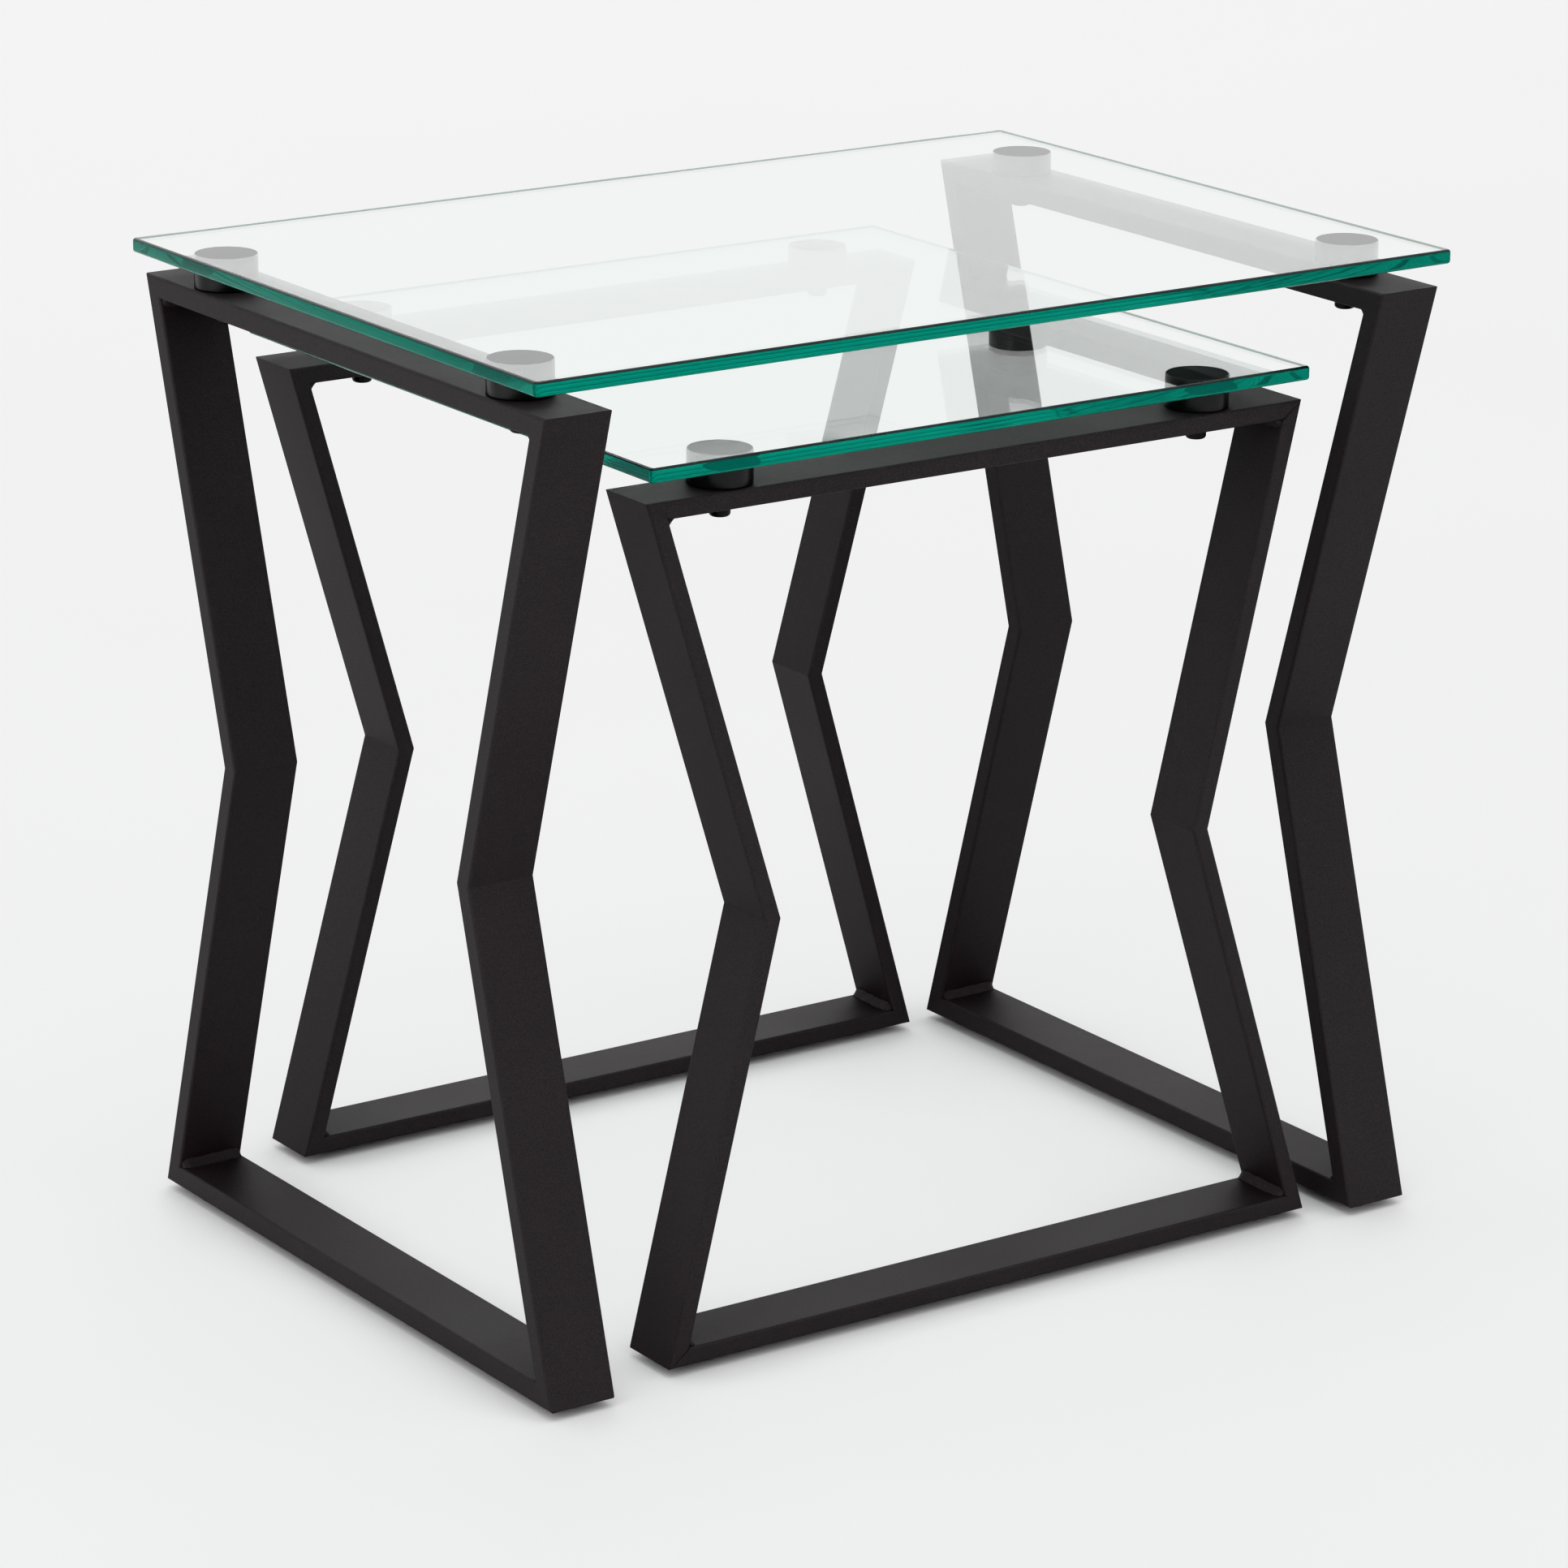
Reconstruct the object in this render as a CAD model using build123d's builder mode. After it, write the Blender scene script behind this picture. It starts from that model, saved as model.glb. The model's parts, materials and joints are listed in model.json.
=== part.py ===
from build123d import *
from dataclasses import dataclass
from math import atan, cos, sin
import os

# Two nesting side tables, each a glass top on two welded hourglass frames of
# rectangular steel tube. The larger table has its frames at the left and right.
# The smaller one has its frames at the front and back, and slides out forwards.
# Units are millimetres. +Z is up, -Y is the front, and the origin is on the floor
# in the middle of the nested set.

# Where the two tables stand: the smaller one is set back and a little to the right
SETBACK = 34
SIDE_SHIFT = 11

# Glass tops, both of one thickness
GLASS_THICKNESS = 8
GLASS_CORNER_RADIUS = 3
GLASS_ARRIS = 1

# Rectangular tube, wide side across each loop
TUBE_WIDTH = 40
TUBE_WALL = 1.5
TUBE_OUTER_RADIUS = 1.6
TUBE_INNER_RADIUS = 0.5

# Fillet welds in the inner corners of each loop
WELD_LEG = 4
WELD_LENGTH = 36

# Discs bonded under the glass, each with a threaded hole for one screw
PUCK_DIAMETER = 35
PUCK_HEIGHT = 12
PUCK_CHAMFER = 0.5
PUCK_HOLE_DIAMETER = 6.2
PUCK_HOLE_DEPTH = 9

# Round-head screws and washers under the top rails
SCREW_DIAMETER = 6
SCREW_HOLE_DIAMETER = 6.6
SCREW_HEAD_DIAMETER = 11.5
SCREW_HEAD_HEIGHT = 5.6
SCREW_HEAD_ROUNDING = 2
SCREW_BITE = 8
HEX_KEY = 4
HEX_KEY_DEPTH = 2.5
WASHER_DIAMETER = 16
WASHER_THICKNESS = 2.4

# Plastic glides pressed into the foot rails
FOOT_HEIGHT = 5
GLIDE_DIAMETER = 15
GLIDE_ROUNDING = 1.5
GLIDE_STEM_DIAMETER = 7.8
GLIDE_STEM_HEIGHT = 6
GLIDE_HOLE_DIAMETER = 8
GLIDE_INSET = 32


@dataclass
class Frame:
    """One hourglass loop. Its plane stands on the floor under the top rail's middle:
    local x runs along the rails, local y points out from the table, local z is up."""

    name: str
    plane: Plane
    sides: dict
    depth: float
    top: float
    waist: float
    foot: float
    top_z: float
    waist_z: float
    puck_spacing: float
    rake: float = 0.0


@dataclass
class Table:
    """One table: a glass plate on two frames."""

    name: str
    centre: tuple
    width: float
    length: float
    frames: list


def upright_plane(centre, offset, x_dir):
    """The plane of a frame whose outward side is 90 degrees left of x_dir."""
    outward = Vector(0, 0, 1).cross(Vector(*x_dir))
    origin = Vector(centre[0], centre[1], 0) + outward * offset
    return Plane(origin=origin, x_dir=x_dir, z_dir=(0, 0, 1))


def outer_frame(name, x_dir, sides):
    """A side frame of the larger table, upright, of 40 x 12 tube."""
    return Frame(
        name=name,
        plane=upright_plane(OUTER_CENTRE, 268, x_dir),
        sides=sides,
        depth=12,
        top=204.5,
        waist=128,
        foot=205.5,
        top_z=534,
        waist_z=270.5,
        puck_spacing=149.5,
    )


def inner_frame(name, x_dir, sides, rake):
    """An end frame of the smaller table, of 40 x 10 tube, raked outwards at the foot."""
    return Frame(
        name=name,
        plane=upright_plane(INNER_CENTRE, 181, x_dir),
        sides=sides,
        depth=10,
        top=214.5,
        waist=148,
        foot=215.5,
        top_z=471,
        waist_z=239,
        puck_spacing=156.5,
        rake=rake,
    )


OUTER_CENTRE = (0, -SETBACK / 2)
INNER_CENTRE = (SIDE_SHIFT, SETBACK / 2)

OUTER_TABLE = Table(
    name="outer",
    centre=OUTER_CENTRE,
    width=590,
    length=414,
    frames=[
        outer_frame("outer_left", (0, 1, 0), {1: "back", -1: "front"}),
        outer_frame("outer_right", (0, -1, 0), {1: "front", -1: "back"}),
    ],
)
INNER_TABLE = Table(
    name="inner",
    centre=INNER_CENTRE,
    width=431,
    length=414,
    frames=[
        inner_frame("inner_front", (-1, 0, 0), {1: "left", -1: "right"}, rake=24),
        inner_frame("inner_back", (1, 0, 0), {1: "right", -1: "left"}, rake=-4),
    ],
)


# ---- Geometry of a loop ----

def leg_lean(frame, end):
    """Angle of the upper (end 1) or lower (end -1) legs from the vertical."""
    if end == 1:
        return atan((frame.top - frame.waist) / (frame.top_z - frame.waist_z))
    return atan((frame.foot - frame.waist) / (frame.waist_z - FOOT_HEIGHT))


def leg_width(frame):
    """Horizontal thickness of a leg, so that its true thickness is the tube's depth."""
    return frame.depth / cos(leg_lean(frame, 1))


def half_length(frame, z):
    """Half the loop's outside length at height z."""
    if z >= frame.waist_z:
        share = (z - frame.waist_z) / (frame.top_z - frame.waist_z)
        return frame.waist + share * (frame.top - frame.waist)
    share = (frame.waist_z - z) / (frame.waist_z - FOOT_HEIGHT)
    return frame.waist + share * (frame.foot - frame.waist)


def rake_at(frame, z):
    """How far the loop stands out from its top rail at height z."""
    return frame.rake * (frame.top_z - z) / (frame.top_z - FOOT_HEIGHT)


def rail_heights(frame, end):
    """Outer and inner face heights of the top rail (end 1) or foot rail (end -1)."""
    outer_z = frame.top_z if end == 1 else FOOT_HEIGHT
    return outer_z, outer_z - end * frame.depth


def leg_centre(frame, side, z):
    """Centre of a leg's horizontal section at height z."""
    across = half_length(frame, z) - leg_width(frame) / 2
    return frame.plane.from_local_coords((side * across, rake_at(frame, z), z))


def inner_corner(frame, side, end):
    """The corner where a leg's inner face meets a rail's inner face."""
    inner_z = rail_heights(frame, end)[1]
    across = half_length(frame, inner_z) - leg_width(frame)
    return frame.plane.from_local_coords((side * across, rake_at(frame, inner_z), inner_z))


def mitre_plane(frame, side, end):
    """The mitre between a leg and a rail, its normal pointing into the rail."""
    outer_z, inner_z = rail_heights(frame, end)
    outer_across = half_length(frame, outer_z)
    run = outer_across - (half_length(frame, inner_z) - leg_width(frame))
    normal = frame.plane.x_dir * (-side * frame.depth) + Vector(0, 0, end * run)
    origin = frame.plane.from_local_coords((side * outer_across, 0, outer_z))
    return Plane(origin=origin, x_dir=frame.plane.y_dir, z_dir=normal)


def frame_points(frame, spacing, z):
    """Two points on the rail's middle line at height z, either side of its centre."""
    places = [(side * spacing, rake_at(frame, z), z) for side in (-1, 1)]
    return [frame.plane.from_local_coords(place) for place in places]


def puck_points(table):
    return [p for f in table.frames for p in frame_points(f, f.puck_spacing, f.top_z)]


def glide_points(table):
    spacing = table.frames[0].foot - GLIDE_INSET
    return [p for f in table.frames for p in frame_points(f, spacing, FOOT_HEIGHT)]


def corner_name(table, point):
    """Name such as outer_front_left for the quarter of the table that holds a point."""
    end = "front" if point.Y < table.centre[1] else "back"
    side = "left" if point.X < table.centre[0] else "right"
    return f"{table.name}_{end}_{side}"


def flat_points(points):
    return [(point.X, point.Y) for point in points]


def save(part, name):
    part.label = name
    export_step(part, f"parts/{name}.step")


# ---- Sub-parts ----

def tube_section(across, along):
    """Hollow rounded rectangle, drawn in the open sketch."""
    RectangleRounded(across, along, TUBE_OUTER_RADIUS)
    bore = (across - 2 * TUBE_WALL, along - 2 * TUBE_WALL)
    RectangleRounded(*bore, TUBE_INNER_RADIUS, mode=Mode.SUBTRACT)


def make_glass(table):
    top_z = table.frames[0].top_z + PUCK_HEIGHT
    with BuildPart() as glass:
        with BuildSketch(Plane(origin=(*table.centre, top_z))):
            RectangleRounded(table.width, table.length, GLASS_CORNER_RADIUS)
        extrude(amount=GLASS_THICKNESS)
        levels = glass.edges().group_by(Axis.Z)
        chamfer(levels[0] + levels[-1], GLASS_ARRIS)
    save(glass.part, f"{table.name}_glass_top")


def make_rail(frame, end):
    """A mitred rail; the top rail is drilled for screws, the foot rail for glides."""
    outer_z, inner_z = rail_heights(frame, end)
    middle_z = (outer_z + inner_z) / 2
    middle = frame.plane.from_local_coords((0, rake_at(frame, outer_z), middle_z))
    if end == 1:
        holes = frame_points(frame, frame.puck_spacing, outer_z)
        hole_diameter = SCREW_HOLE_DIAMETER
        hole_depth = frame.depth
    else:
        holes = frame_points(frame, frame.foot - GLIDE_INSET, outer_z)
        hole_diameter = GLIDE_HOLE_DIAMETER
        hole_depth = TUBE_WALL
    with BuildPart() as rail:
        with BuildSketch(Plane(origin=middle, x_dir=frame.plane.y_dir, z_dir=frame.plane.x_dir)):
            tube_section(TUBE_WIDTH, frame.depth)
        extrude(amount=half_length(frame, outer_z), both=True)
        for side in (-1, 1):
            split(bisect_by=mitre_plane(frame, side, end), keep=Keep.TOP)
        with BuildSketch(Plane.XY.offset(outer_z)):
            with Locations(*flat_points(holes)):
                Circle(hole_diameter / 2)
        extrude(amount=-end * hole_depth, mode=Mode.SUBTRACT)
    save(rail.part, f"{frame.name}_{'top' if end == 1 else 'foot'}_rail")


def make_leg(frame, side, end):
    """Half a leg, from the waist to a rail: square at the waist, mitred at the rail."""
    start = leg_centre(frame, side, frame.waist_z)
    finish = leg_centre(frame, side, rail_heights(frame, end)[0])
    run = finish - start
    with BuildPart() as leg:
        with BuildSketch(Plane(origin=start, x_dir=frame.plane.x_dir, z_dir=(0, 0, 1))):
            tube_section(leg_width(frame), TUBE_WIDTH)
        extrude(amount=run.length, dir=run)
        split(bisect_by=mitre_plane(frame, side, end), keep=Keep.BOTTOM)
    save(leg.part, f"{frame.name}_{frame.sides[side]}_{'upper' if end == 1 else 'lower'}_leg")


def make_welds(frame):
    """Four fillet welds, one in each inner corner of the loop."""
    with BuildPart() as welds:
        for end in (-1, 1):
            lean = leg_lean(frame, end)
            for side in (-1, 1):
                corner = inner_corner(frame, side, end)
                loop_plane = Plane(corner, x_dir=frame.plane.x_dir, z_dir=-frame.plane.y_dir)
                on_rail = (-side * WELD_LEG, 0)
                on_leg = (-side * WELD_LEG * sin(lean), -end * WELD_LEG * cos(lean))
                with BuildSketch(loop_plane):
                    Polygon((0, 0), on_rail, on_leg, align=None)
                extrude(amount=WELD_LENGTH / 2, both=True)
    save(welds.part, f"{frame.name}_welds")


def make_puck(table, point):
    with BuildPart() as puck:
        with BuildSketch(Plane(origin=point)):
            Circle(PUCK_DIAMETER / 2)
        extrude(amount=PUCK_HEIGHT)
        chamfer(puck.edges(), PUCK_CHAMFER)
        with BuildSketch(Plane(origin=point)):
            Circle(PUCK_HOLE_DIAMETER / 2)
        extrude(amount=PUCK_HOLE_DEPTH, mode=Mode.SUBTRACT)
    save(puck.part, f"{corner_name(table, point)}_puck")


def make_washers(table):
    frame = table.frames[0]
    rail_z = frame.top_z - frame.depth
    with BuildPart() as washers:
        with BuildSketch(Plane.XY.offset(rail_z)):
            with Locations(*flat_points(puck_points(table))):
                Circle(WASHER_DIAMETER / 2)
                Circle(SCREW_HOLE_DIAMETER / 2, mode=Mode.SUBTRACT)
        extrude(amount=-WASHER_THICKNESS)
    save(washers.part, f"{table.name}_washers")


def make_screws(table):
    """Four round-head screws, up through the top rails into the pucks."""
    frame = table.frames[0]
    head_z = frame.top_z - frame.depth - WASHER_THICKNESS
    places = flat_points(puck_points(table))
    with BuildPart() as screws:
        with BuildSketch(Plane.XY.offset(head_z)):
            with Locations(*places):
                Circle(SCREW_HEAD_DIAMETER / 2)
        extrude(amount=-SCREW_HEAD_HEIGHT)
        fillet(screws.edges().group_by(Axis.Z)[0], SCREW_HEAD_ROUNDING)
        with BuildSketch(Plane.XY.offset(head_z - SCREW_HEAD_HEIGHT)):
            with Locations(*places):
                RegularPolygon(HEX_KEY / 2, 6, major_radius=False)
        extrude(amount=HEX_KEY_DEPTH, mode=Mode.SUBTRACT)
        with BuildSketch(Plane.XY.offset(head_z)):
            with Locations(*places):
                Circle(SCREW_DIAMETER / 2)
        extrude(amount=WASHER_THICKNESS + frame.depth + SCREW_BITE)
    save(screws.part, f"{table.name}_screws")


def make_glide(table, point):
    """A round glide, its stem pressed into the foot rail's lower wall."""
    with BuildPart() as glide:
        with BuildSketch(Plane(origin=point)):
            Circle(GLIDE_DIAMETER / 2)
        extrude(amount=-FOOT_HEIGHT)
        fillet(glide.edges().group_by(Axis.Z)[0], GLIDE_ROUNDING)
        with BuildSketch(Plane(origin=point)):
            Circle(GLIDE_STEM_DIAMETER / 2)
        extrude(amount=GLIDE_STEM_HEIGHT)
    save(glide.part, f"{corner_name(table, point)}_glide")


def make_table(table):
    make_glass(table)
    for frame in table.frames:
        make_welds(frame)
        for end in (-1, 1):
            make_rail(frame, end)
            for side in (-1, 1):
                make_leg(frame, side, end)
    for point in puck_points(table):
        make_puck(table, point)
    for point in glide_points(table):
        make_glide(table, point)
    make_washers(table)
    make_screws(table)


os.makedirs("parts", exist_ok=True)
make_table(OUTER_TABLE)
make_table(INNER_TABLE)
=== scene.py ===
import bmesh
import bpy
import json
import math
from mathutils import Matrix, Vector, noise


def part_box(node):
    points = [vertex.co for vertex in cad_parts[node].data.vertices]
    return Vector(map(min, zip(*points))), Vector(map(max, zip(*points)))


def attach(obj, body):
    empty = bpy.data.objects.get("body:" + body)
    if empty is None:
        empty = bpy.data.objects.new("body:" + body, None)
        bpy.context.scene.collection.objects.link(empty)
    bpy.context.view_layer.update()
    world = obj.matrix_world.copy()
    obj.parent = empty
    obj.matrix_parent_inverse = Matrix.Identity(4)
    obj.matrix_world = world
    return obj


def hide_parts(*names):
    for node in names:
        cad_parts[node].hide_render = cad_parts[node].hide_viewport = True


# The looks of two nesting tables: glass tops on hourglass frames of black tube.
# Everything is in metres, in the frame's own axes: +Z up and -Y the front.

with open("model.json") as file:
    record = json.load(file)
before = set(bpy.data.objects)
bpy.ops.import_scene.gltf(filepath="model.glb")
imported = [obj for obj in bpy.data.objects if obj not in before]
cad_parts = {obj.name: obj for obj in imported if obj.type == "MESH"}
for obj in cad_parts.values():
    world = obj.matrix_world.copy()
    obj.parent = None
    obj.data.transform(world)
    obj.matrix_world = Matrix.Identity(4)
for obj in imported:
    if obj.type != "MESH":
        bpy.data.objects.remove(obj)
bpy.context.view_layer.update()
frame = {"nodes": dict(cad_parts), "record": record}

MM = 0.001
NODES = frame["nodes"]
BODY_OF = {
    node: body
    for body, nodes in frame["record"]["behaviour"]["bodies"].items()
    for node in nodes
}


# ---- Node-tree helpers ----

def new_material(name):
    """An empty material, and its node tree."""
    material = bpy.data.materials.new(name)
    material.use_nodes = True
    tree = material.node_tree
    tree.nodes.clear()
    return material, tree


def add(tree, kind, values=None, **settings):
    """Adds a node, with its settings and its input values by name or number."""
    node = tree.nodes.new(kind)
    for key, value in settings.items():
        setattr(node, key, value)
    for key, value in (values or {}).items():
        node.inputs[key].default_value = value
    return node


def link(tree, source, target):
    tree.links.new(source, target)


def object_noise(tree, scale, detail=4.0, roughness=0.55, stretch=(1, 1, 1)):
    """Noise in the object's own metres; stretch scales its three axes."""
    coords = add(tree, "ShaderNodeTexCoord")
    mapping = add(tree, "ShaderNodeMapping", {"Scale": stretch})
    pattern = add(
        tree,
        "ShaderNodeTexNoise",
        {"Scale": scale, "Detail": detail, "Roughness": roughness},
    )
    link(tree, coords.outputs["Object"], mapping.inputs["Vector"])
    link(tree, mapping.outputs["Vector"], pattern.inputs["Vector"])
    return pattern.outputs["Fac"]


def ramp(tree, source, low, high, start=0.3, end=0.7):
    """Maps a 0 to 1 value onto a range between two values or colours."""
    if isinstance(low, tuple):
        node = add(tree, "ShaderNodeValToRGB")
        node.color_ramp.elements[0].position = start
        node.color_ramp.elements[1].position = end
        node.color_ramp.elements[0].color = (*low, 1)
        node.color_ramp.elements[1].color = (*high, 1)
        link(tree, source, node.inputs["Fac"])
        return node.outputs["Color"]
    node = add(
        tree,
        "ShaderNodeMapRange",
        {"From Min": start, "From Max": end, "To Min": low, "To Max": high},
    )
    link(tree, source, node.inputs["Value"])
    return node.outputs["Result"]


# ---- Materials ----

def relief(tree, height, strength, distance, under=None):
    """A bump from a height pattern, laid over another bump if there is one."""
    node = add(tree, "ShaderNodeBump", {"Strength": strength, "Distance": distance})
    link(tree, height, node.inputs["Height"])
    if under is not None:
        link(tree, under, node.inputs["Normal"])
    return node.outputs["Normal"]


def finish(tree, shader, tone, roughness=None, normal=None):
    """Wires colour, roughness and normal into an opaque shader, and that to the surface."""
    output = add(tree, "ShaderNodeOutputMaterial")
    link(tree, tone, shader.inputs["Base Color"])
    if roughness is not None:
        link(tree, roughness, shader.inputs["Roughness"])
    if normal is not None:
        link(tree, normal, shader.inputs["Normal"])
    link(tree, shader.outputs["BSDF"], output.inputs["Surface"])


def powder_coat():
    """Fine-textured matte black powder coat, slightly uneven in tone and gloss."""
    material, tree = new_material("powder_coat")
    shader = add(tree, "ShaderNodeBsdfPrincipled", {"Specular IOR Level": 0.29})
    patches = object_noise(tree, scale=9, detail=5)
    grain = object_noise(tree, scale=1400, detail=2, roughness=0.6)
    pebble = object_noise(tree, scale=420, detail=3, roughness=0.5)
    tone = ramp(tree, patches, (0.0296, 0.0266, 0.0274), (0.0340, 0.0307, 0.0316), 0.35, 0.65)
    speck = ramp(tree, grain, (0.82, 0.82, 0.82), (1.18, 1.18, 1.18), 0.35, 0.65)
    mixed = add(tree, "ShaderNodeMix", {"Factor": 1.0}, data_type="RGBA", blend_type="MULTIPLY")
    link(tree, tone, mixed.inputs["A"])
    link(tree, speck, mixed.inputs["B"])
    coarse = relief(tree, pebble, strength=0.25, distance=0.18 * MM)
    fine = relief(tree, grain, strength=0.35, distance=0.06 * MM, under=coarse)
    finish(tree, shader, mixed.outputs["Result"], ramp(tree, patches, 0.56, 0.64), fine)
    return material


def satin_disc():
    """Satin black of the bonded discs, with faint rings round their sides."""
    material, tree = new_material("satin_disc")
    shader = add(tree, "ShaderNodeBsdfPrincipled")
    rings = object_noise(tree, scale=60, detail=3, stretch=(1, 1, 40))
    patches = object_noise(tree, scale=40)
    tone = ramp(tree, patches, (0.006, 0.006, 0.0062), (0.010, 0.010, 0.0104))
    turned = relief(tree, rings, strength=0.2, distance=0.05 * MM)
    finish(tree, shader, tone, ramp(tree, rings, 0.26, 0.38), turned)
    return material


def black_oxide():
    """Oiled black oxide on screws and washers."""
    material, tree = new_material("black_oxide")
    shader = add(tree, "ShaderNodeBsdfPrincipled", {"Metallic": 0.6})
    patches = object_noise(tree, scale=220, detail=5)
    tone = ramp(tree, patches, (0.016, 0.016, 0.018), (0.032, 0.031, 0.031))
    etched = relief(tree, patches, strength=0.25, distance=0.04 * MM)
    finish(tree, shader, tone, ramp(tree, patches, 0.30, 0.48), etched)
    return material


def moulded_plastic():
    """Black moulded plastic of the glides, lightly scuffed."""
    material, tree = new_material("moulded_plastic")
    shader = add(tree, "ShaderNodeBsdfPrincipled")
    scuffs = object_noise(tree, scale=300, detail=5)
    tone = ramp(tree, scuffs, (0.008, 0.008, 0.008), (0.018, 0.018, 0.018))
    scuffed = relief(tree, scuffs, strength=0.3, distance=0.05 * MM)
    finish(tree, shader, tone, ramp(tree, scuffs, 0.45, 0.68), scuffed)
    return material


GLASS_IOR = 1.52


def lit_through(tree, shader, tint):
    """The glass, open to light on its way to other surfaces, so that it barely shades them."""
    path = add(tree, "ShaderNodeLightPath")
    either = add(tree, "ShaderNodeMath", operation="MAXIMUM")
    open_glass = add(tree, "ShaderNodeBsdfTransparent", {"Color": (*tint, 1)})
    mixed = add(tree, "ShaderNodeMixShader")
    link(tree, path.outputs["Is Shadow Ray"], either.inputs[0])
    link(tree, path.outputs["Is Diffuse Ray"], either.inputs[1])
    link(tree, either.outputs["Value"], mixed.inputs["Fac"])
    link(tree, shader.outputs["BSDF"], mixed.inputs[1])
    link(tree, open_glass.outputs["BSDF"], mixed.inputs[2])
    return mixed.outputs["Shader"]


def clear_glass():
    """Float glass: clear through its faces, with a slight green body."""
    material, tree = new_material("clear_glass")
    look = {
        "Base Color": (1, 1, 1, 1),
        "Roughness": 0.0,
        "IOR": GLASS_IOR,
        "Transmission Weight": 1.0,
    }
    shader = add(tree, "ShaderNodeBsdfPrincipled", look)
    output = add(tree, "ShaderNodeOutputMaterial")
    waves = object_noise(tree, scale=3, detail=2)
    rippled = relief(tree, waves, strength=0.02, distance=0.2 * MM)
    link(tree, rippled, shader.inputs["Normal"])
    absorbed = {"Color": (0.10, 0.78, 0.50, 1), "Density": 4.0}
    body = add(tree, "ShaderNodeVolumeAbsorption", absorbed)
    link(tree, lit_through(tree, shader, (0.99, 0.99, 0.99)), output.inputs["Surface"])
    link(tree, body.outputs["Volume"], output.inputs["Volume"])
    return material


def edge_glass():
    """The polished edge, teal because light reaches it through the length of the glass."""
    material, tree = new_material("edge_glass")
    look = {
        "Roughness": 0.04,
        "IOR": GLASS_IOR,
        "Transmission Weight": 0.8,
        "Specular Tint": (0.12, 0.5, 0.5, 1),
    }
    shader = add(tree, "ShaderNodeBsdfPrincipled", look)
    output = add(tree, "ShaderNodeOutputMaterial")
    streaks = object_noise(tree, scale=4, stretch=(1, 1, 30))
    tint = ramp(tree, streaks, (0.003, 0.190, 0.128), (0.008, 0.262, 0.180), 0.34, 0.66)
    link(tree, tint, shader.inputs["Base Color"])
    link(tree, lit_through(tree, shader, (0.55, 0.80, 0.76)), output.inputs["Surface"])
    return material


def painted_dark_arris():
    """The upper arris of the edge, painted opaque black-green: painted shade where the real glass
    turns the light away.
    """
    material, tree = new_material("painted_dark_arris")
    shader = add(tree, "ShaderNodeBsdfPrincipled")
    nicks = object_noise(tree, scale=60)
    # Painted shade: near-black green in place of clear glass, where the arris turns the light away
    tone = ramp(tree, nicks, (0.002, 0.006, 0.006), (0.006, 0.022, 0.020))
    finish(tree, shader, tone, ramp(tree, nicks, 0.18, 0.34))
    return material


POWDER_COAT = powder_coat()
SATIN_DISC = satin_disc()
BLACK_OXIDE = black_oxide()
MOULDED_PLASTIC = moulded_plastic()
CLEAR_GLASS = clear_glass()
EDGE_GLASS = edge_glass()
PAINTED_DARK_ARRIS = painted_dark_arris()

MATERIAL_OF = {
    "rail": POWDER_COAT,
    "leg": POWDER_COAT,
    "welds": POWDER_COAT,
    "puck": SATIN_DISC,
    "glide": MOULDED_PLASTIC,
    "washers": BLACK_OXIDE,
    "screws": BLACK_OXIDE,
    "top": CLEAR_GLASS,
}


def dress_cad_nodes():
    """Gives every CAD node its procedural material, by the last word of its name."""
    for name, node in NODES.items():
        node.data.materials.clear()
        node.data.materials.append(MATERIAL_OF[name.split("_")[-1]])


dress_cad_nodes()


# ---- Pieces ----

def add_piece(name, vertices, faces, material, body, smooth=True):
    """A mesh piece that rides on a CAD body."""
    mesh = bpy.data.meshes.new(name)
    mesh.from_pydata([tuple(v) for v in vertices], [], faces)
    mesh.materials.append(material)
    mesh.polygons.foreach_set("use_smooth", [smooth] * len(mesh.polygons))
    mesh.update()
    piece = bpy.data.objects.new(name, mesh)
    bpy.context.collection.objects.link(piece)
    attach(piece, body)
    return piece


GLASS_CORNER = 3.0 * MM
GLASS_CORNER_STEPS = 12
GLASS_ROUNDING = 1.8 * MM
GLASS_ROUNDING_STEPS = 4

# The pane's material slots, in the order in which make_glass fills them; the last holds the arris
# painted dark as shade
FACE, EDGE, SHADED_ARRIS = range(3)


def rounded_outline(low, high, radius, inset, z):
    """The points round a rectangle with rounded corners, pulled in by an inset."""
    points = []
    reach = radius - inset
    corners = [(high.x, high.y, 0), (low.x, high.y, 90), (low.x, low.y, 180), (high.x, low.y, 270)]
    for x, y, start in corners:
        centre_x = x + math.copysign(radius, (low.x + high.x) / 2 - x)
        centre_y = y + math.copysign(radius, (low.y + high.y) / 2 - y)
        for step in range(GLASS_CORNER_STEPS + 1):
            angle = math.radians(start + 90 * step / GLASS_CORNER_STEPS)
            across, up = reach * math.cos(angle), reach * math.sin(angle)
            points.append((centre_x + across, centre_y + up, z))
    return points


def edge_levels(low, high):
    """Heights and insets up the glass's edge, which is rounded below and above."""
    curve = []
    for step in range(GLASS_ROUNDING_STEPS + 1):
        angle = math.radians(90 * step / GLASS_ROUNDING_STEPS)
        rise = GLASS_ROUNDING * (1 - math.cos(angle))
        inset = GLASS_ROUNDING * (1 - math.sin(angle))
        curve.append((rise, inset))
    lower = [(low.z + rise, inset) for rise, inset in curve]
    upper = [(high.z - rise, inset) for rise, inset in reversed(curve)]
    return lower + upper


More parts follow.
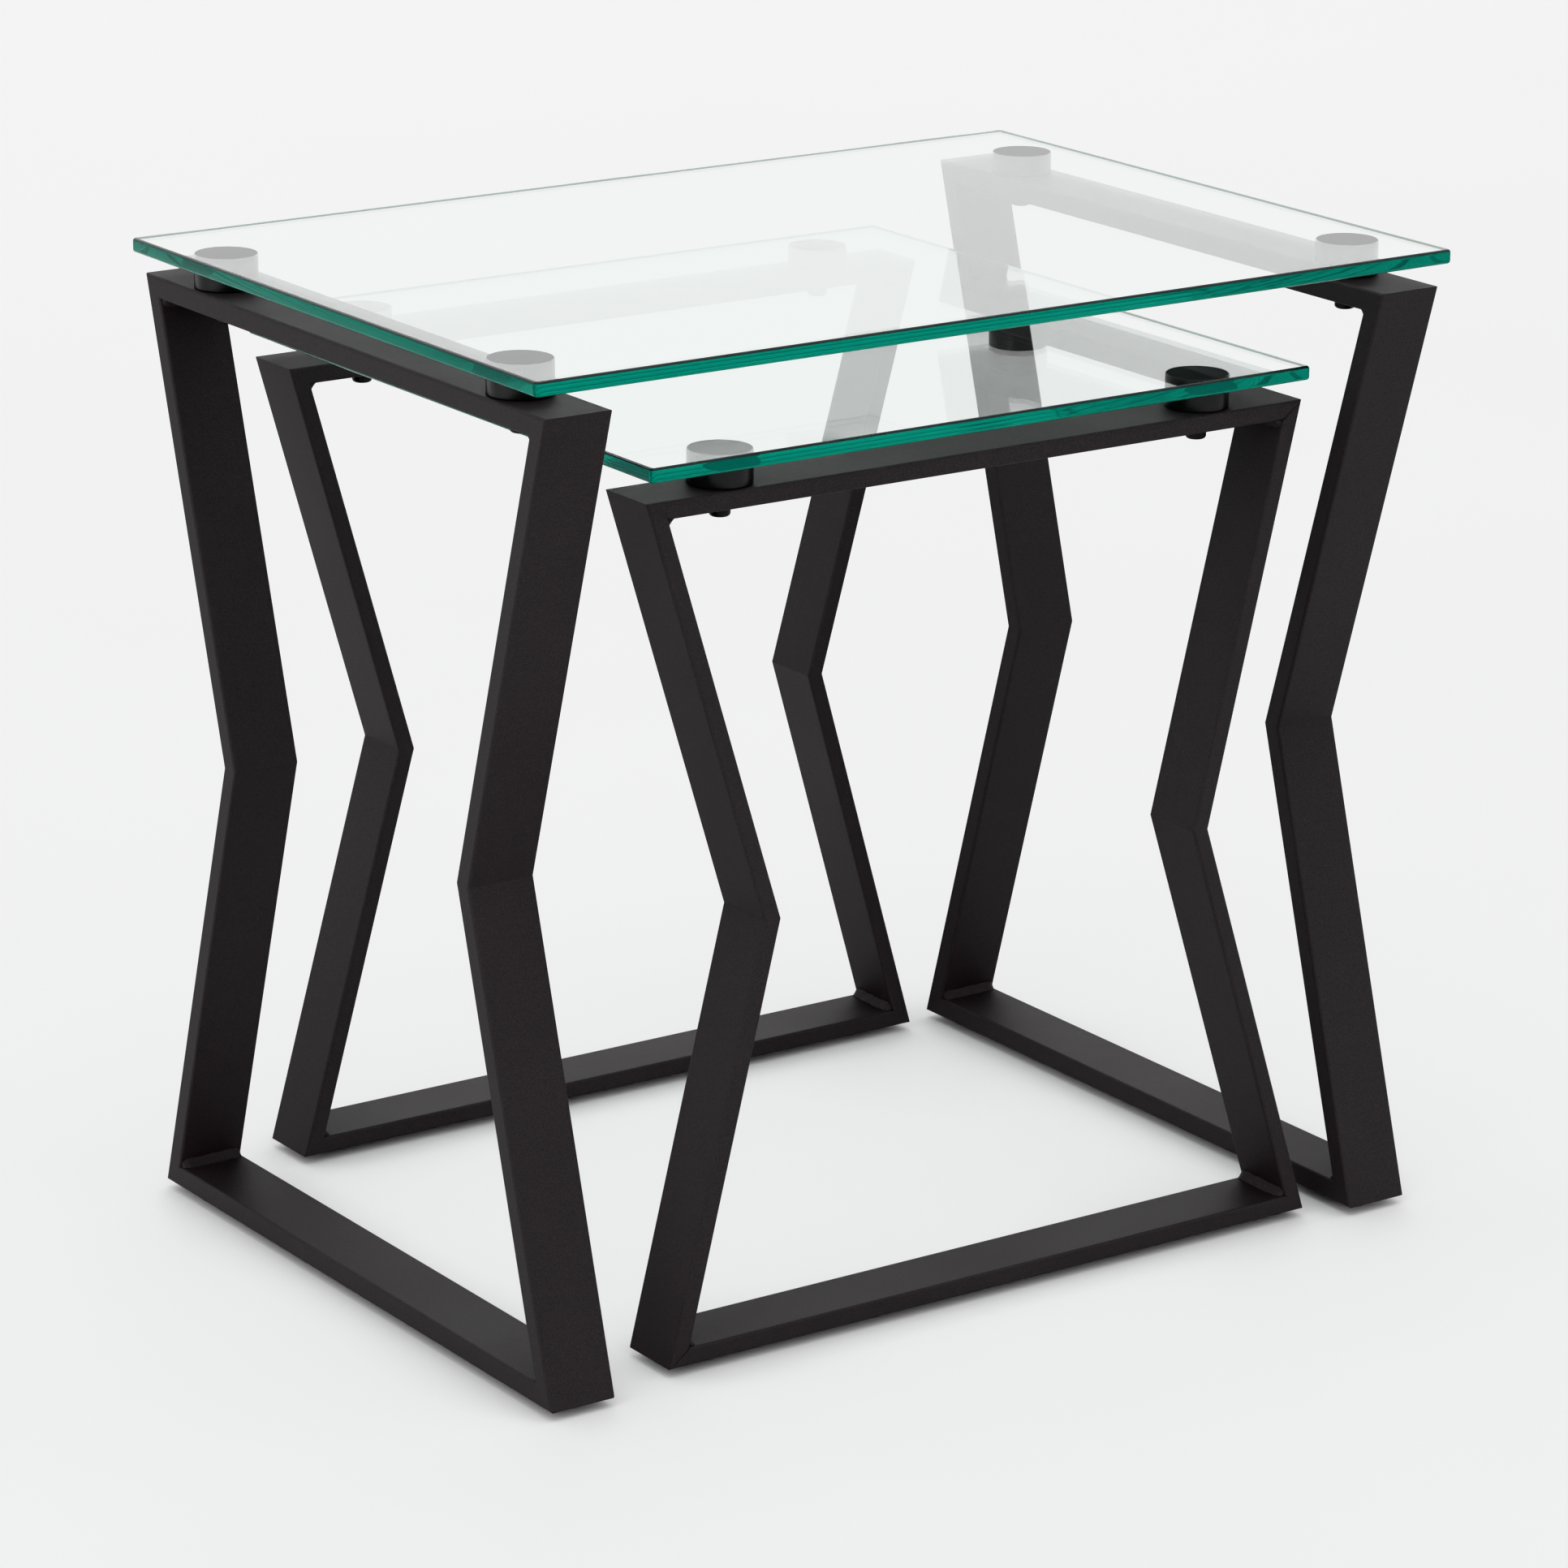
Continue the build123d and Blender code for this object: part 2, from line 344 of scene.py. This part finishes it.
def make_glass(node):
    """A glass top: clear faces inside a polished edge whose upper arris is painted dark as shade,
    with sharp shading between them.
    """
    low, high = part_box(node)
    levels = edge_levels(low, high)
    vertices, faces, kinds = [], [], []
    for z, inset in levels:
        vertices += rounded_outline(low, high, GLASS_CORNER, inset, z)
    count = len(vertices) // len(levels)
    last = (len(levels) - 1) * count
    # The upper levels of the edge take the arris painted dark as shade
    first_shaded_level = len(levels) - GLASS_ROUNDING_STEPS
    for level in range(len(levels) - 1):
        base = level * count
        for i in range(count):
            j = (i + 1) % count
            faces.append((base + i, base + j, base + count + j, base + count + i))
            kinds.append(SHADED_ARRIS if level >= first_shaded_level else EDGE)
    faces += [tuple(reversed(range(count))), tuple(range(last, last + count))]
    kinds += [FACE, FACE]
    pane = add_piece(node + "_pane", vertices, faces, CLEAR_GLASS, BODY_OF[node])
    pane.data.materials.append(EDGE_GLASS)
    pane.data.materials.append(PAINTED_DARK_ARRIS)
    pane.data.polygons.foreach_set("material_index", kinds)
    for edge in pane.data.edges:
        a, b = edge.vertices
        edge.use_edge_sharp = max(a, b) < count or min(a, b) >= last
    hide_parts(node)


BOND_SINK = 0.05 * MM
BOND_THICKNESS = 0.15 * MM
BOND_INSET = 0.8 * MM
BOND_SEGMENTS = 96


def make_bond(puck):
    """The adhesive film on a disc, wetted into the glass so that no air gap reflects."""
    low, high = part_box(puck)
    centre = (low + high) / 2
    radius = (high.x - low.x) / 2 - BOND_INSET
    top = high.z + BOND_SINK
    levels = (top - BOND_THICKNESS, top)
    vertices = []
    for level in levels:
        for step in range(BOND_SEGMENTS):
            angle = 2 * math.pi * step / BOND_SEGMENTS
            across, up = radius * math.cos(angle), radius * math.sin(angle)
            vertices.append((centre.x + across, centre.y + up, level))
    count = BOND_SEGMENTS
    faces = [tuple(reversed(range(count))), tuple(range(count, 2 * count))]
    faces += [(i, (i + 1) % count, count + (i + 1) % count, count + i) for i in range(count)]
    name = puck.replace("puck", "bond")
    bond = add_piece(name, vertices, faces, SATIN_DISC, BODY_OF[puck], smooth=False)


# A weld bead: its legs grow from the CAD prism's, and its face is hollow
WELD_STEPS = 72
WELD_ARC_STEPS = 10
WELD_GROWTH = 1.3
WELD_REACH = 0.8 * MM
WELD_HOLLOW = 0.25 * MM
WELD_RIPPLE = 0.05
WELD_RIPPLE_LENGTH = 2.3 * MM
WELD_END_SIZE = 0.45
WELD_TAPER_LENGTH = 3.0 * MM

# How far a bead's two toes wander, how fast, and where in the noise each of them reads
WANDER = 0.14
WANDER_RATE = 140
WANDER_PER_WELD = 7.3
RAIL_TOE_ROW = 0.5
LEG_TOE_ROW = 9.5

# CAD mesh points closer than this are one point
SAME_POINT = 0.01 * MM


def weld_prisms(node):
    """The separate prisms of a weld node, each as its two end triangles."""
    graph = bmesh.new()
    graph.from_mesh(NODES[node].data)
    bmesh.ops.remove_doubles(graph, verts=graph.verts, dist=SAME_POINT)
    waiting = set(graph.verts)
    prisms = []
    while waiting:
        island = set()
        front = [waiting.pop()]
        while front:
            vertex = front.pop()
            island.add(vertex)
            near = [edge.other_vert(vertex) for edge in vertex.link_edges]
            front += [v for v in near if v in waiting]
            waiting -= set(near)
        points = [v.co.copy() for v in island]
        spread = [max(p[i] for p in points) - min(p[i] for p in points) for i in range(3)]
        axis = spread.index(max(spread))
        points.sort(key=lambda p: p[axis])
        prisms.append((points[:3], points[-3:]))
    graph.free()
    # The points come from a set, so which is first, and this order, can vary between runs
    prisms.sort(key=lambda prism: tuple(prism[0][0]))
    return prisms


def root_first(triangle):
    """The triangle's points with the weld's root first, then in a steady order."""
    root = min(triangle, key=lambda p: sum((p - q).length for q in triangle))
    toes = sorted((p for p in triangle if p is not root), key=lambda p: abs(p.z - root.z))
    return root, toes[0], toes[1]


def toe_size(size, along, number, noise_row):
    """A bead leg's size at a place along it, wandering in its own row of the noise."""
    place = Vector((along * WANDER_RATE, number * WANDER_PER_WELD, noise_row))
    return size * (1 + WANDER * noise.noise(place))


def bead_section(root, rail_side, leg_side, along, length, number):
    """The points round one cross-section of a bead: its root, then its hollow face."""
    ripple = 1 + WELD_RIPPLE * abs(math.sin(math.pi * along / WELD_RIPPLE_LENGTH))
    from_end = min(along, length - along) / WELD_TAPER_LENGTH
    taper = min(1.0, WELD_END_SIZE + (1 - WELD_END_SIZE) * math.sqrt(from_end))
    size = ripple * taper
    to_rail = rail_side * toe_size(size, along, number, RAIL_TOE_ROW)
    to_leg = leg_side * toe_size(size, along, number, LEG_TOE_ROW)
    inwards = -(to_rail + to_leg).normalized()
    points = [root]
    for arc in range(WELD_ARC_STEPS + 1):
        t = arc / WELD_ARC_STEPS
        hollow = WELD_HOLLOW * size * math.sin(math.pi * t)
        points.append(root + to_rail.lerp(to_leg, t) + inwards * hollow)
    return points


def make_welds(node):
    """Hand-laid fillet beads: rippled, slightly wandering, in place of the CAD prisms."""
    vertices, faces = [], []
    row = WELD_ARC_STEPS + 2
    for number, (low_end, high_end) in enumerate(weld_prisms(node)):
        root_a, rail_toe, leg_toe = root_first(low_end)
        root_b = root_first(high_end)[0]
        rail_side = (rail_toe - root_a) * WELD_GROWTH
        leg_side = (leg_toe - root_a) * WELD_GROWTH
        reach = (root_b - root_a).normalized() * WELD_REACH
        root_a, root_b = root_a - reach, root_b + reach
        length = (root_b - root_a).length
        base = len(vertices)
        for step in range(WELD_STEPS + 1):
            share = step / WELD_STEPS
            root = root_a.lerp(root_b, share)
            vertices += bead_section(root, rail_side, leg_side, share * length, length, number)
        for step in range(WELD_STEPS):
            a, b = base + step * row, base + (step + 1) * row
            for i in range(row):
                j = (i + 1) % row
                faces.append((a + i, a + j, b + j, b + i))
        last = base + WELD_STEPS * row
        faces.append(tuple(range(base, base + row)))
        faces.append(tuple(reversed(range(last, last + row))))
    beads = add_piece(node + "_beads", vertices, faces, POWDER_COAT, BODY_OF[node])
    graph = bmesh.new()
    graph.from_mesh(beads.data)
    bmesh.ops.recalc_face_normals(graph, faces=graph.faces)
    graph.to_mesh(beads.data)
    graph.free()
    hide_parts(node)


for node_name in NODES:
    if node_name.endswith("_puck"):
        make_bond(node_name)
    if node_name.endswith("_welds"):
        make_welds(node_name)
    if node_name.endswith("_glass_top"):
        make_glass(node_name)


# ---- Stage, lights and camera ----

FLOOR_REACH = 12.0
WORLD_STRENGTH = 1.10

# Each softbox: its name, place, target, size across and up, and radiance
SOFTBOXES = (
    ("back_panel", (2.55, 3.70, 2.00), (0, 0, 0.5), (8.0, 2.6), 0.18),
    ("backdrop_light", (2.4, 4.6, 3.2), (2.4, 4.6, 0), (7.0, 3.0), 0.9),
    ("left_softbox", (-3.2, -0.6, 1.1), (0, 0, 0.3), (2.4, 1.8), 1.45),
    ("front_softbox", (0.6, -4.2, 1.5), (0, 0, 0.3), (3.0, 1.8), 0.7),
    ("top_softbox", (0, 0, 2.4), (0, 0, 0), (1.6, 1.6), 0.9),
)

# The photograph's viewing angle: from the front left, a little above; angles in degrees
CAMERA_PLACE = (-1.8125, -2.6369, 1.2200)
CAMERA_YAW = -34.644
CAMERA_PITCH = -17.003
CAMERA_ROLL = 0.435
SENSOR_WIDTH = 36
LENS = 136.55

# Glass in glass needs long light paths
BOUNCES = 64


def make_floor():
    """A wide, flat, pale floor, faintly mottled."""
    material, tree = new_material("studio_white")
    look = {"Roughness": 0.7, "Specular IOR Level": 0.2}
    shader = add(tree, "ShaderNodeBsdfPrincipled", look)
    mottle = object_noise(tree, scale=1.5, detail=3)
    finish(tree, shader, ramp(tree, mottle, (0.80, 0.80, 0.805), (0.83, 0.83, 0.835)))
    mesh = bpy.data.meshes.new("floor")
    signs = ((-1, -1), (1, -1), (1, 1), (-1, 1))
    corners = [(x * FLOOR_REACH, y * FLOOR_REACH, 0) for x, y in signs]
    mesh.from_pydata(corners, [], [(0, 1, 2, 3)])
    floor = bpy.data.objects.new("floor", mesh)
    floor.data.materials.append(material)
    bpy.context.collection.objects.link(floor)


def make_world():
    """An even white surround, which lights the tables and shows in the glass."""
    world = bpy.data.worlds.new("studio")
    world.use_nodes = True
    background = world.node_tree.nodes["Background"]
    background.inputs["Color"].default_value = (1, 1, 1, 1)
    background.inputs["Strength"].default_value = WORLD_STRENGTH
    bpy.context.scene.world = world


def softbox(name, place, target, size, radiance):
    """A rectangular area light of a given brightness at a place, turned to a target."""
    light = bpy.data.lights.new(name, "AREA")
    light.shape = "RECTANGLE"
    light.size, light.size_y = size
    light.energy = radiance * math.pi * size[0] * size[1]
    lamp = bpy.data.objects.new(name, light)
    lamp.location = place
    towards = Vector(target) - Vector(place)
    lamp.rotation_euler = towards.to_track_quat("-Z", "Y").to_euler()
    lamp.visible_camera = False
    bpy.context.collection.objects.link(lamp)


def make_camera():
    camera = bpy.data.cameras.new("camera")
    camera.sensor_width = SENSOR_WIDTH
    camera.lens = LENS
    view = bpy.data.objects.new("camera", camera)
    view.matrix_world = (
        Matrix.Translation(Vector(CAMERA_PLACE))
        @ Matrix.Rotation(math.radians(CAMERA_YAW), 4, "Z")
        @ Matrix.Rotation(math.radians(90 + CAMERA_PITCH), 4, "X")
        @ Matrix.Rotation(math.radians(CAMERA_ROLL), 4, "Z")
    )
    bpy.context.collection.objects.link(view)
    bpy.context.scene.camera = view


make_floor()
make_world()
for settings in SOFTBOXES:
    softbox(*settings)
make_camera()

scene = bpy.context.scene
scene.view_settings.view_transform = "Khronos PBR Neutral"
scene.view_settings.look = "None"
scene.cycles.max_bounces = BOUNCES
scene.cycles.glossy_bounces = BOUNCES
scene.cycles.transmission_bounces = BOUNCES
